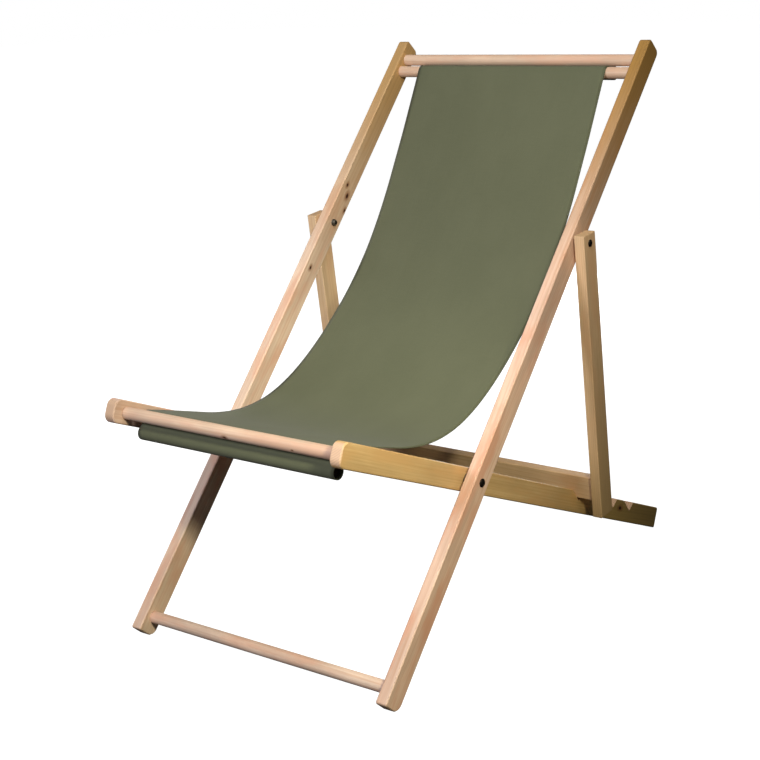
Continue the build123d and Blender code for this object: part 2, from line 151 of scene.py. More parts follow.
def addRange(tree, value, low, high, toLow=0.0, toHigh=1.0, smooth=True):
    node = addNode(tree, "ShaderNodeMapRange", interpolation_type="SMOOTHSTEP" if smooth else "LINEAR")
    feedAll(tree, node, {
        "Value": value, "From Min": low, "From Max": high, "To Min": toLow, "To Max": toHigh})
    return node.outputs["Result"]


def addStretch(tree, vector, scale):
    node = addNode(tree, "ShaderNodeMapping")
    feedAll(tree, node, {"Vector": vector, "Scale": scale})
    return node.outputs["Vector"]


def addNoise(tree, vector, scale, detail, roughness=0.55):
    node = addNode(tree, "ShaderNodeTexNoise")
    feedAll(tree, node, {"Vector": vector, "Scale": scale, "Detail": detail, "Roughness": roughness})
    return node.outputs["Fac"]


def addStreaks(tree, vector, stretch, detail=3.0, roughness=0.55):
    # noise drawn out along one axis or more
    return addNoise(tree, addStretch(tree, vector, stretch), 1.0, detail, roughness)


def fromSrgb(red, green, blue):
    parts = []
    for value in (red, green, blue):
        share = value / 255
        parts.append(share / 12.92 if share <= 0.04045 else ((share + 0.055) / 1.055) ** 2.4)
    return (parts[0], parts[1], parts[2], 1.0)


# Node groups shared by several materials


def newGroup(name, inputs, outputs):
    group = bpy.data.node_groups.new(name, "ShaderNodeTree")
    for socketName, kind, value in inputs:
        socket = group.interface.new_socket(socketName, in_out="INPUT", socket_type=kind)
        if value is not None:
            socket.default_value = value
    for socketName, kind in outputs:
        group.interface.new_socket(socketName, in_out="OUTPUT", socket_type=kind)
    return group, addNode(group, "NodeGroupInput"), addNode(group, "NodeGroupOutput")


# Softwood: scales are per metre, and a stretch has two across the board and one along it
grain = {
    "driftScale": 3.0,
    "driftStretch": (1.0, 1.0, 0.35),
    "driftReach": (0.030, 0.030, 0.0),  # how widely the rings' centre wanders, in metres
    "ringScale": 85.0,
    "ringWaver": 1.2,
    "ringWaverScale": 0.6,
    "ringStretch": (1.0, 1.0, 0.02),
    "lateFrom": 0.35,  # share of a ring that stays early wood
    "fibreStretch": (620.0, 620.0, 9.0),
    "fibreRange": (0.36, 0.66),
    "fibreShare": 0.32,
    "streakStretch": (150.0, 150.0, 2.2),
    "streakRange": (0.38, 0.68),
    "streakShare": 0.55,
    "patchStretch": (26.0, 26.0, 7.0),
    "patchRange": (0.3, 0.7),
    "patchTones": (0.88, 1.08),
    "cloudStretch": (34.0, 34.0, 9.0),
    "cloudRange": (0.42, 0.68),
    # painted shade along a board: how its border wavers, and how much grain shows in it
    "shadeWaver": 0.1,  # in metres
    "paintedShadeLines": 0.3,
    "endLines": 0.35,
    "endRings": 0.5,
    "relief": 0.5,
    "roughness": (0.46, 0.60),
}


def makeWoodGroup():
    # the grain runs along Z of the vector that the group is given
    group, inside, outside = newGroup(
        "softwoodGrain",
        [
            ("Vector", "NodeSocketVector", None),
            ("Pith", "NodeSocketVector", (0.03, 0.02, 0.0)),
            ("Early Wood", "NodeSocketColor", fromSrgb(228, 190, 152)),
            ("Late Wood", "NodeSocketColor", fromSrgb(192, 138, 92)),
            ("Blotches", "NodeSocketColor", fromSrgb(226, 176, 146)),
            ("Blotch Strength", "NodeSocketFloat", 0.75),
            ("End Tone", "NodeSocketColor", fromSrgb(226, 190, 158)),
            ("Dark End", "NodeSocketColor", fromSrgb(160, 120, 66)),
            ("Dark From", "NodeSocketFloat", 10.0),
            ("Dark To", "NodeSocketFloat", 11.0),
            ("Ring Strength", "NodeSocketFloat", 0.6),
            ("Fibre Strength", "NodeSocketFloat", 0.5),
            ("Ends", "NodeSocketFloat", 0.0),
        ],
        [("Color", "NodeSocketColor"), ("Roughness", "NodeSocketFloat"), ("Height", "NodeSocketFloat")],
    )
    black = (0.0, 0.0, 0.0, 1.0)
    vector = inside.outputs["Vector"]
    # growth rings round a pith that wanders a little
    drift = addNode(group, "ShaderNodeTexNoise")
    feedAll(group, drift, {
        "Vector": addStretch(group, vector, grain["driftStretch"]),
        "Scale": grain["driftScale"], "Detail": 2.0})
    centred = addVector(group, "SUBTRACT", drift.outputs["Color"], (0.5, 0.5, 0.5))
    bend = addVector(group, "MULTIPLY", centred, grain["driftReach"])
    fromPith = addVector(group, "SUBTRACT", addVector(group, "ADD", vector, bend), inside.outputs["Pith"])
    rings = addNode(group, "ShaderNodeTexWave", wave_type="RINGS", rings_direction="Z", wave_profile="SAW")
    feedAll(group, rings, {
        "Vector": addStretch(group, fromPith, grain["ringStretch"]),
        "Scale": grain["ringScale"], "Distortion": grain["ringWaver"],
        "Detail": 2.0, "Detail Scale": grain["ringWaverScale"]})
    late = addRange(group, rings.outputs["Fac"], grain["lateFrom"], 1.0)
    # fine fibres and broad streaks along the board
    fine = addStreaks(group, vector, grain["fibreStretch"], roughness=0.6)
    broad = addStreaks(group, vector, grain["streakStretch"])
    share = addMath(group, "MULTIPLY", late, inside.outputs["Ring Strength"])
    for noise, kind, last in ((fine, "fibre", False), (broad, "streak", True)):
        lines = addRange(group, noise, *grain[kind + "Range"])
        lines = addMath(group, "MULTIPLY", lines, inside.outputs["Fibre Strength"])
        lines = addMath(group, "MULTIPLY", lines, grain[kind + "Share"])
        share = addMath(group, "ADD", share, lines, clamp=last)
    colour = addMix(group, share, inside.outputs["Early Wood"], inside.outputs["Late Wood"])
    # patches of another brightness, and warmer blotches
    patch = addStreaks(group, vector, grain["patchStretch"])
    toned = addNode(group, "ShaderNodeHueSaturation")
    tone = addRange(group, patch, *grain["patchRange"], *grain["patchTones"])
    feedAll(group, toned, {"Color": colour, "Value": tone})
    cloud = addStreaks(group, vector, grain["cloudStretch"], roughness=0.6)
    blotched = addRange(group, cloud, *grain["cloudRange"])
    blotched = addMath(group, "MULTIPLY", blotched, inside.outputs["Blotch Strength"])
    warmed = addMix(group, blotched, toned.outputs["Color"], inside.outputs["Blotches"])
    # painted shade: the stretch of the board darkened to stand in for light falling off or a cast shadow
    place = addNode(group, "ShaderNodeSeparateXYZ")
    feed(group, place.inputs["Vector"], vector)
    waver = addMath(group, "MULTIPLY", cloud, grain["shadeWaver"])
    along = addMath(group, "ADD", place.outputs["Z"], waver)
    paintedShadeShare = addRange(group, along, inside.outputs["Dark From"], inside.outputs["Dark To"])
    paintedShadeLines = addMix(group, grain["paintedShadeLines"], inside.outputs["Dark End"], black)
    paintedShade = addMix(group, share, inside.outputs["Dark End"], paintedShadeLines)
    lengthways = addMix(group, paintedShadeShare, warmed, paintedShade)
    # end grain
    endLines = addMix(group, grain["endLines"], inside.outputs["End Tone"], black)
    endRings = addMath(group, "MULTIPLY", late, grain["endRings"])
    endways = addMix(group, endRings, inside.outputs["End Tone"], endLines)
    height = addMath(group, "ADD", addMath(group, "MULTIPLY", broad, grain["relief"]),
                     addMath(group, "MULTIPLY", late, -grain["relief"]))
    feedAll(group, outside, {
        "Color": addMix(group, inside.outputs["Ends"], lengthways, endways),
        "Roughness": addRange(group, share, 0.0, 1.0, *grain["roughness"], smooth=False),
        "Height": height})
    return group


# A dark knot with a reddish rim, measured in shares of its own size
knotLook = {
    "stretch": (1.0, 1.0, 0.6),  # a scale under 1 draws it out along the grain
    "wobbleScale": 240.0,
    "wobble": 0.5,
    "coreEdge": (0.65, 1.15),
    "coreColour": fromSrgb(66, 34, 20),
    "rimEdge": (1.0, 2.3),
    "rimShare": 0.6,
    "rimColour": fromSrgb(150, 92, 52),
}


def makeKnotGroup():
    group, inside, outside = newGroup(
        "knot",
        [
            ("Color", "NodeSocketColor", (0.5, 0.5, 0.5, 1.0)),
            ("Vector", "NodeSocketVector", None),
            ("Centre", "NodeSocketVector", (0.0, 0.0, 0.0)),
            ("Size", "NodeSocketFloat", 0.006),
        ],
        [("Color", "NodeSocketColor")],
    )
    away = addVector(group, "SUBTRACT", inside.outputs["Vector"], inside.outputs["Centre"])
    reach = addVector(group, "LENGTH", addStretch(group, away, knotLook["stretch"]))
    reach = addMath(group, "DIVIDE", reach, inside.outputs["Size"])
    wobble = addNoise(group, inside.outputs["Vector"], knotLook["wobbleScale"], detail=2.0)
    reach = addMath(group, "ADD", reach, addMath(group, "MULTIPLY", wobble, knotLook["wobble"]))
    core = addRange(group, reach, *knotLook["coreEdge"], 1.0, 0.0)
    rim = addRange(group, reach, *knotLook["rimEdge"], knotLook["rimShare"], 0.0)
    rimmed = addMix(group, rim, inside.outputs["Color"], knotLook["rimColour"])
    feed(group, outside.inputs["Color"], addMix(group, core, rimmed, knotLook["coreColour"]))
    return group


# Edge wear and painted highlight: edges are lightened where the bevelled normal leaves the flat one, partly
# for rubbed wear and partly for light catching the rounded edges
edgeWearAndHighlight = {
    "bevel": 0.0016,
    "samples": 8,
    "sharp": 0.80,
    "flat": 0.985,
    "patchScale": 60.0,
    "patchRange": (0.35, 0.65),
}


def makeEdgeGroup():
    group, inside, outside = newGroup(
        "wornAndHighlitEdges",
        [
            ("Color", "NodeSocketColor", (0.5, 0.5, 0.5, 1.0)),
            ("Wear And Highlight Color", "NodeSocketColor", (0.8, 0.8, 0.8, 1.0)),
            ("Vector", "NodeSocketVector", None),
            ("Strength", "NodeSocketFloat", 0.5),
        ],
        [("Color", "NodeSocketColor"), ("Normal", "NodeSocketVector")],
    )
    soft = addNode(group, "ShaderNodeBevel", samples=edgeWearAndHighlight["samples"])
    feed(group, soft.inputs["Radius"], edgeWearAndHighlight["bevel"])
    flat = addNode(group, "ShaderNodeNewGeometry")
    meeting = addVector(group, "DOT_PRODUCT", soft.outputs["Normal"], flat.outputs["Normal"])
    edges = addRange(group, meeting, edgeWearAndHighlight["sharp"], edgeWearAndHighlight["flat"], 1.0, 0.0)
    patchy = addNoise(group, inside.outputs["Vector"], edgeWearAndHighlight["patchScale"], detail=4.0)
    patchy = addRange(group, patchy, *edgeWearAndHighlight["patchRange"])
    wornAndHighlit = addMath(group, "MULTIPLY", addMath(group, "MULTIPLY", edges, patchy), inside.outputs["Strength"])
    feedAll(group, outside, {
        "Color": addMix(group, wornAndHighlit, inside.outputs["Color"], inside.outputs["Wear And Highlight Color"]),
        "Normal": soft.outputs["Normal"]})
    return group


groups = {"wood": makeWoodGroup(), "knot": makeKnotGroup(), "edges": makeEdgeGroup()}
print("node groups made:", ", ".join(groups))


def useGroup(tree, name, values):
    node = addNode(tree, "ShaderNodeGroup")
    node.node_tree = groups[name]
    feedAll(tree, node, values)
    return node


def startMaterial(name):
    material = bpy.data.materials.new(name)
    material.use_nodes = True
    tree = material.node_tree
    tree.nodes.clear()
    output = addNode(tree, "ShaderNodeOutputMaterial")
    shader = addNode(tree, "ShaderNodeBsdfPrincipled")
    tree.links.new(shader.outputs["BSDF"], output.inputs["Surface"])
    return material, tree, shader


def addBump(tree, shader, height, strength, distance, under=None):
    # under is the normal that the bump is laid on, where it isn't the face's own
    bump = addNode(tree, "ShaderNodeBump")
    feedAll(tree, bump, {"Height": height, "Strength": strength, "Distance": distance})
    if under is not None:
        feed(tree, bump.inputs["Normal"], under)
    feed(tree, shader.inputs["Normal"], bump.outputs["Normal"])


def finishNode(name, material):
    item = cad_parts[name]
    item.data.materials.clear()
    item.data.materials.append(material)


# Oiled softwood, one board each, so that no two pieces share their grain
woodFinish = {
    "fibres": 0.5,
    "blotches": 0.75,
    "endFrom": 0.50,  # how far a face is turned to the grain before it shows end grain
    "endTo": 0.80,
    # lighter edges: partly rubbed wear, partly a painted highlight where light catches the rounded edges
    "wornAndHighlightTone": fromSrgb(240, 212, 180),
    "edgeWearAndHighlight": 0.3,
    "bump": 0.08,
    "relief": 0.0004,
    "specular": 0.35,
}


def boardTurn(turn):
    return Matrix.Rotation(turn[0], 3, "X") if turn[0] else Matrix.Rotation(turn[1], 3, "Y")


def pithOf(board, turn, heart):
    # heart says how far the pith lies from the board's middle line, in millimetres
    low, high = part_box(board)
    middle = boardTurn(turn) @ ((Vector(low) + Vector(high)) / 2)
    return (middle.x + heart[0] * mm, middle.y + heart[1] * mm, 0.0)


def addTurned(tree, source, turn, **settings):
    # a vector turned so that the board's own length lies along Z
    node = addNode(tree, "ShaderNodeMapping", **settings)
    feedAll(tree, node, {"Vector": source, "Rotation": turn})
    return node.outputs["Vector"]


def woodMaterial(board, turn, heart, rings, early, late, blotches, ends, paintedShade=None, knots=()):
    material, tree, shader = startMaterial(board + "_wood")
    coordinates = addNode(tree, "ShaderNodeTexCoord")
    along = addTurned(tree, coordinates.outputs["Object"], turn)
    facing = addNode(tree, "ShaderNodeSeparateXYZ")
    turnedNormal = addTurned(tree, coordinates.outputs["Normal"], turn, vector_type="NORMAL")
    feed(tree, facing.inputs["Vector"], turnedNormal)
    endways = addMath(tree, "ABSOLUTE", facing.outputs["Z"])
    wood = useGroup(tree, "wood", {
        "Vector": along,
        "Ends": addRange(tree, endways, woodFinish["endFrom"], woodFinish["endTo"]),
        "Pith": pithOf(board, turn, heart),
        "Early Wood": early,
        "Late Wood": late,
        "Blotches": blotches,
        "End Tone": ends,
        "Ring Strength": rings,
        "Fibre Strength": woodFinish["fibres"],
        "Blotch Strength": woodFinish["blotches"]})
    # painted shade: the board darkens along its length where the light falls off or a shadow lies
    if paintedShade:
        feedAll(tree, wood, {"Dark End": paintedShade["tone"], "Dark From": paintedShade["start"], "Dark To": paintedShade["end"]})
    colour = wood.outputs["Color"]
    for centre, size in knots:
        knot = useGroup(tree, "knot", {
            "Color": colour, "Vector": along, "Centre": boardTurn(turn) @ Vector(centre), "Size": size})
        colour = knot.outputs["Color"]
    edge = useGroup(tree, "edges", {
        "Color": colour, "Vector": coordinates.outputs["Object"],
        "Wear And Highlight Color": woodFinish["wornAndHighlightTone"], "Strength": woodFinish["edgeWearAndHighlight"]})
    feedAll(tree, shader, {
        "Base Color": edge.outputs["Color"], "Roughness": wood.outputs["Roughness"],
        "Specular IOR Level": woodFinish["specular"]})
    addBump(tree, shader, wood.outputs["Height"], woodFinish["bump"], woodFinish["relief"],
            under=edge.outputs["Normal"])
    return material


def palette(early, late, blotches, ends):
    return {"early": fromSrgb(*early), "late": fromSrgb(*late), "blotches": fromSrgb(*blotches),
            "ends": fromSrgb(*ends)}


# Colours of the boards in sRGB; the last, dark one is for the rods inside the hems, as painted shade where
# their ends show
pinkish = palette(early=(231, 198, 176), late=(203, 152, 118), blotches=(219, 160, 130), ends=(216, 180, 148))
pale = palette(early=(240, 213, 190), late=(212, 168, 134), blotches=(228, 177, 147), ends=(216, 180, 148))
blond = palette(early=(240, 208, 168), late=(208, 166, 120), blotches=(230, 188, 146), ends=(206, 170, 130))
golden = palette(early=(221, 185, 132), late=(190, 148, 92), blotches=(214, 168, 112), ends=(224, 186, 154))
olive = palette(early=(232, 196, 154), late=(198, 154, 106), blotches=(222, 176, 132), ends=(200, 164, 122))
rosy = palette(early=(228, 200, 174), late=(204, 162, 130), blotches=(222, 176, 148), ends=(210, 172, 138))
# painted shade: rods kept near black so the hem ends read as shadowed
paintedShadeRods = palette(early=(78, 62, 48), late=(54, 42, 32), blotches=(66, 52, 40), ends=(48, 38, 30))

# How a board is turned to bring its length along Z
alongBack = (chair["backLean"], 0.0, 0.0)
alongSeat = (chair["seatSlope"] + math.pi / 2, 0.0, 0.0)
alongStrut = (chair["strutLean"], 0.0, 0.0)
alongDowel = (0.0, -math.pi / 2, 0.0)

# Painted shade: where a board turns darker along its own length, standing in for light that falls off towards
# the top of the back rails and the foot of the struts, and for the struts' shadow on the tails of the seat
# rails; in metres on its own axis; the one for the struts runs downwards
paintedShadeTop = {"tone": fromSrgb(170, 128, 66), "start": 0.40, "end": 1.06}
paintedShadeTopLeft = {"tone": fromSrgb(196, 156, 102), "start": 0.44, "end": 1.02}
# painted shadow: the struts' shadow across the tails of the seat rails
paintedShadowTail = {"tone": fromSrgb(202, 167, 98), "start": 0.00, "end": 0.34}
paintedShadeFoot = {"tone": fromSrgb(208, 172, 120), "start": 0.62, "end": 0.10}


def backKnot(along, front):
    return inMetres(-chair["backInner"], backPoint(along, front))


def seatKnot(rearward, above):
    return inMetres(chair["seatOuter"], seatPoint(rearward, above))


def dowelKnot(x, forward, up):
    centre = seatPoint(chair["frontDowelAt"], 0)
    return inMetres(x, (centre[0] + forward, centre[1] + up))


# A knot is its centre and its size in metres
boards = {
    "back_rail_left": dict(turn=alongBack, heart=(-34, -22), rings=0.24, paintedShade=paintedShadeTopLeft, **pale, knots=(
        (backKnot(557.5, 7), 0.0036), (backKnot(539.2, -4.6), 0.0052),
        (backKnot(511.7, -15.2), 0.0034), (backKnot(365.5, 5.8), 0.0036))),
    "back_rail_right": dict(turn=alongBack, heart=(-26, 38), rings=0.24, paintedShade=paintedShadeTop, **pinkish),
    "seat_rail_left": dict(turn=alongSeat, heart=(-45, -29), rings=0.24, paintedShade=paintedShadowTail, **pinkish),
    "seat_rail_right": dict(turn=alongSeat, heart=(-35, -39), rings=0.24, paintedShade=paintedShadowTail, **golden, knots=(
        (seatKnot(569.2, 4.7), 0.005),)),
    "strut_left": dict(turn=alongStrut, heart=(-27, 31), rings=0.24, paintedShade=paintedShadeFoot, **blond),
    "strut_right": dict(turn=alongStrut, heart=(37, -39), rings=0.24, paintedShade=paintedShadeFoot, **olive),
    "support_crossbar": dict(turn=alongDowel, heart=(24, 60), rings=0.24, **olive),
    "top_dowel": dict(turn=alongDowel, heart=(14, 15), rings=0.25, **rosy),
    "top_guide_dowel": dict(turn=alongDowel, heart=(17, 14), rings=0.25, **rosy),
    "foot_dowel": dict(turn=alongDowel, heart=(-20, -17), rings=0.3, **pale),
    "seat_front_dowel": dict(turn=alongDowel, heart=(-14, 20), rings=0.3, **rosy, knots=(
        (dowelKnot(0, -9, -5), 0.0030), (dowelKnot(143, -10, -4), 0.0014))),
    "seat_guide_dowel": dict(turn=alongDowel, heart=(20, -12), rings=0.3, **rosy),
    "seat_rear_dowel": dict(turn=alongDowel, heart=(-18, 15), rings=0.3, **rosy),
    "sling_top_rod": dict(turn=alongDowel, heart=(-15, 20), rings=0.3, **paintedShadeRods),
    "sling_front_rod": dict(turn=alongDowel, heart=(16, -15), rings=0.3, **paintedShadeRods),
}
for board, look in boards.items():
    finishNode(board, woodMaterial(board, **look))
print("wood on", len(boards), "pieces")

# Bolts, nuts, washers and spacers
metalFinish = {
    "spotScale": 380.0,
    "spotRange": (0.3, 0.7),
    "spotShare": 0.5,
    "spotTone": 0.55,
    "roughen": 0.18,
    # lighter edges on the metal: wear, and partly a painted highlight
    "edgeWearAndHighlight": 0.7,
    "bump": 0.2,
    "relief": 0.0001,
}
metals = {
    "darkBoltHeads": {
        "colour": fromSrgb(46, 40, 34), "wornAndHighlit": fromSrgb(120, 108, 92),
        "metallic": 0.85, "roughness": 0.38,
        "pieces": ("pivot_bolts", "strut_bolts")},
    "zincHardware": {
        "colour": fromSrgb(128, 124, 116), "wornAndHighlit": fromSrgb(160, 156, 148),
        "metallic": 1.0, "roughness": 0.42,
        "pieces": ("pivot_spacers", "pivot_washers", "pivot_nuts",
                   "strut_spacers", "strut_washers", "strut_nuts")},
}


def metalMaterial(name, colour, wornAndHighlit, metallic, roughness):
    material, tree, shader = startMaterial(name)
    onPiece = addNode(tree, "ShaderNodeTexCoord").outputs["Object"]
    spots = addNoise(tree, onPiece, metalFinish["spotScale"], detail=5.0, roughness=0.6)
    spotted = addRange(tree, spots, *metalFinish["spotRange"], 0.0, metalFinish["spotShare"])
    rough = addRange(tree, spots, *metalFinish["spotRange"], roughness, roughness + metalFinish["roughen"])
    spotColour = tuple(part * metalFinish["spotTone"] for part in colour[:3]) + (1.0,)
    edge = useGroup(tree, "edges", {
        "Color": addMix(tree, spotted, colour, spotColour), "Vector": onPiece,
        "Wear And Highlight Color": wornAndHighlit, "Strength": metalFinish["edgeWearAndHighlight"]})
    feedAll(tree, shader, {"Base Color": edge.outputs["Color"], "Metallic": metallic, "Roughness": rough})
    addBump(tree, shader, spots, metalFinish["bump"], metalFinish["relief"], under=edge.outputs["Normal"])
    return material


for name, look in metals.items():
    metal = metalMaterial(name, look["colour"], look["wornAndHighlit"], look["metallic"], look["roughness"])
    for piece in look["pieces"]:
        finishNode(piece, metal)
print("metal on the bolts, nuts, washers and spacers")

# Sling: one length of canvas with a sewn hem at each end, in millimetres
canvas = {
    "halfWidth": 213.5,
    "thickness": 1.3,
    "wrapRadius": 12.15,  # middle of the cloth round a guide dowel
    "loopRadius": 12.15,  # and round a rod in its hem
    "neckReach": 14.75,  # from a rod's middle to where the hem closes
    "topRodBack": 19.8,  # behind the line of the top dowels
    "frontRollDrop": 24.0,  # below the front guide dowel
    "endLap": 1.5,
    "endTuck": -0.6,
    "loopSteps": 90,
    "wrapSteps": 30,
    "sagSteps": 10,
    "columns": 44,
    "rows": 340,
    "normalStep": 1.5,  # reach to either side in which the cloth's direction is taken
}

# The hang of the cloth: how far along the chord between the guide dowels, and how far below it
sagShares = (
    (0.075, 0.030), (0.127, 0.0605), (0.180, 0.090), (0.235, 0.120), (0.300, 0.151), (0.370, 0.178),
    (0.450, 0.199), (0.530, 0.2115), (0.610, 0.2165), (0.680, 0.213), (0.740, 0.201), (0.790, 0.181),
    (0.835, 0.153), (0.875, 0.118), (0.910, 0.080), (0.945, 0.041),
)


def pointOn(centre, radius, angle):
    return (centre[0] + radius * math.cos(angle), centre[1] + radius * math.sin(angle))


def arcAround(centre, radius, start, end, steps):
    return [pointOn(centre, radius, start + (end - start) * i / steps) for i in range(steps + 1)]


def touchAngle(centre, radius, point, side):
    # where a straight run from the point touches the circle
    reach = math.hypot(point[0] - centre[0], point[1] - centre[1])
    return math.atan2(point[1] - centre[1], point[0] - centre[0]) + side * math.acos(radius / reach)


def throughPoints(points, steps):
    # smooth curve through all points but the first and last, which only steer it
    smooth = []
    for i in range(1, len(points) - 2):
        p0, p1, p2, p3 = points[i - 1:i + 3]
        for step in range(steps):
            t = step / steps
            smooth.append(tuple(
                0.5 * (2 * p1[k] + (p2[k] - p0[k]) * t + (2 * p0[k] - 5 * p1[k] + 4 * p2[k] - p3[k]) * t * t
                       + (3 * p1[k] - p0[k] - 3 * p2[k] + p3[k]) * t ** 3)
                for k in (0, 1)))
    smooth.append(points[-2])
    return smooth


def hemEnd(neck, facing, lapping):
    # the raw end of the cloth, laid on the hem where it closes
    return pointOn(pointOn(neck, canvas["endLap"], lapping), canvas["endTuck"], facing)


def slingRoute():
    guideTop = backPoint(chair["topGuideAt"], 0)
    guideFront = seatPoint(chair["frontGuideAt"], 0)
    topRod = backPoint((chair["topDowelAt"] + chair["topGuideAt"]) / 2, -canvas["topRodBack"])
    frontRod = (guideFront[0] - canvas["wrapRadius"], guideFront[1] - canvas["frontRollDrop"])
    chord = (guideFront[0] - guideTop[0], guideFront[1] - guideTop[1])
    sag = [(guideTop[0] + chord[0] * run - chord[1] * drop, guideTop[1] + chord[1] * run + chord[0] * drop)
           for run, drop in sagShares]
    # the neck of the top hem points forwards, square to the back rails, and the other one up
    forward = math.pi - chair["backLean"]
    up = math.pi / 2
    neckTurn = math.acos(canvas["loopRadius"] / canvas["neckReach"])
    topNeck = pointOn(topRod, canvas["neckReach"], forward)
    frontNeck = pointOn(frontRod, canvas["neckReach"], up)
    topLoop = arcAround(topRod, canvas["loopRadius"],
                        forward + neckTurn, forward - neckTurn + 2 * math.pi, canvas["loopSteps"])
    frontLoop = arcAround(frontRod, canvas["loopRadius"],
                          up + neckTurn, math.pi * 5 / 2 - neckTurn, canvas["loopSteps"])
    topStart = touchAngle(guideTop, canvas["wrapRadius"], topNeck, 1)
    topEnd = touchAngle(guideTop, canvas["wrapRadius"], sag[0], -1) + 2 * math.pi
    topWrap = arcAround(guideTop, canvas["wrapRadius"], topStart, topEnd, canvas["wrapSteps"])
    frontStart = touchAngle(guideFront, canvas["wrapRadius"], sag[-1], 1)
    frontWrap = arcAround(guideFront, canvas["wrapRadius"], frontStart, math.pi, canvas["wrapSteps"])
    steered = [topWrap[-3], topWrap[-1]] + sag + [frontWrap[0], frontWrap[3]]
    hang = throughPoints(steered, canvas["sagSteps"])
    toHang = [hemEnd(topNeck, forward, forward + math.pi / 2)] + topLoop + [topNeck] + topWrap[:-1]
    fromHang = frontWrap[1:] + [frontNeck] + frontLoop + [hemEnd(frontNeck, up, 0)]
    marks = {
        "topNeck": len(topLoop) + 1,
        "hangStart": len(toHang),
        "hangEnd": len(toHang) + len(hang) - 1,
        "frontNeck": len(toHang) + len(hang) + len(frontWrap) - 1,
    }
    return toHang + hang + fromHang, marks


route, marks = slingRoute()
runs = [0.0]
for before, after in zip(route, route[1:]):
    runs.append(runs[-1] + math.hypot(after[0] - before[0], after[1] - before[1]))
slingLength = runs[-1]
hangFrom = runs[marks["hangStart"]]
hangTo = runs[marks["hangEnd"]]
print("sling length", round(slingLength, 1), "mm; sag from", round(hangFrom, 1), "to", round(hangTo, 1))

# How the cloth leaves its middle line: cupped across, with faint lengthwise ripples by the hems
slack = {
    "cupping": 5.0,
    "cupPower": 1.5,
    "rippleHeight": 0.7,
    "rippleReach": 0.07,  # as a share of the hang
    "rippleFade": 0.02,
    "rippleTurns": (17.0, 7.3),
    "rippleShift": 0.6,
}


def routeAt(along):
    along = min(max(along, 0.0), slingLength)
    low, high = 0, len(runs) - 1
    while high - low > 1:
        half = (low + high) // 2
        if runs[half] <= along:
            low = half
        else:
            high = half
    share = (along - runs[low]) / max(runs[high] - runs[low], 1e-9)
    return tuple(route[low][k] + (route[high][k] - route[low][k]) * share for k in (0, 1))


def routeNormal(along):
    before, after = routeAt(along - canvas["normalStep"]), routeAt(along + canvas["normalStep"])
    way = (after[0] - before[0], after[1] - before[1])
    size = math.hypot(*way)
    return (way[1] / size, -way[0] / size)


def slackAt(across, along):
    if not hangFrom < along < hangTo:
        return 0.0
    share = (along - hangFrom) / (hangTo - hangFrom)
    swell = math.sin(math.pi * share) ** slack["cupPower"]
    cup = slack["cupping"] * swell * (1 - across * across)
    near = math.exp(-share / slack["rippleReach"]) + math.exp(-(1 - share) / slack["rippleReach"])
    fade = min(1.0, share / slack["rippleFade"], (1 - share) / slack["rippleFade"])
    first, second = slack["rippleTurns"]
    wave = math.sin(across * first + slack["rippleShift"]) * math.cos(across * second)
    return cup + slack["rippleHeight"] * near * fade * wave


def clothPoint(across, along, lift=0.0):
    y, z = routeAt(along)
    away = routeNormal(along)
    offset = lift - slackAt(across, along)
    return Vector(inMetres(across * canvas["halfWidth"], (y + away[0] * offset, z + away[1] * offset)))


def applyModifier(item, kind, **settings):
    modifier = item.modifiers.new(kind.title(), kind)
    for key, value in settings.items():
        setattr(modifier, key, value)
    makeActive(item)
    bpy.ops.object.modifier_apply(modifier=modifier.name)


deselectAll()
bpy.ops.mesh.primitive_grid_add(
    x_subdivisions=canvas["columns"], y_subdivisions=canvas["rows"], size=1.0, location=(0, 0, 0))
sling = bpy.context.object
sling.name = "slingCanvas"
for vertex in sling.data.vertices:
    vertex.co = clothPoint(vertex.co.x * 2, (0.5 - vertex.co.y) * slingLength)
applyModifier(sling, "SOLIDIFY", thickness=canvas["thickness"] * mm, offset=0.0, use_even_offset=True)
smoothAll(sling)
print("sling made:", len(sling.data.polygons), "faces")

# Plain weave on the cloth's own UV map, in millimetres; a stretch runs across and then along
weave = {
    "colour": fromSrgb(97, 100, 77),
    "faded": fromSrgb(110, 112, 88),
    # the valley colour is painted shade for the low points of the weave, and also the darker selvedge line
    "valley": fromSrgb(69, 72, 53),
    "warpPitch": 1.1,
    "weftPitch": 1.3,
    "warpSlubs": (1.1, 0.02, 1.0),
    "weftSlubs": (0.03, 0.9, 1.0),
    "slubRange": (0.75, 1.25),
    "slubShare": 0.35,
    "slubRelief": 0.8,
    "fading": (0.012, 0.007, 1.0),
    "fadeRange": (0.35, 0.7),
    "fadeShare": 0.25,
    "valleyRange": (0.15, 0.6),
    "valleyShare": 0.35,
    "selvedge": (6.0, 5.0),  # from the edge, where its darker line begins and is full
    "selvedgeShare": 0.35,
    "roughRange": (0.7, 1.3),
    "roughness": (0.82, 0.95),
    "bump": 0.35,
    "relief": 0.0003,
    "specular": 0.2,
    "sheen": 0.04,
    "sheenRoughness": 0.5,
}


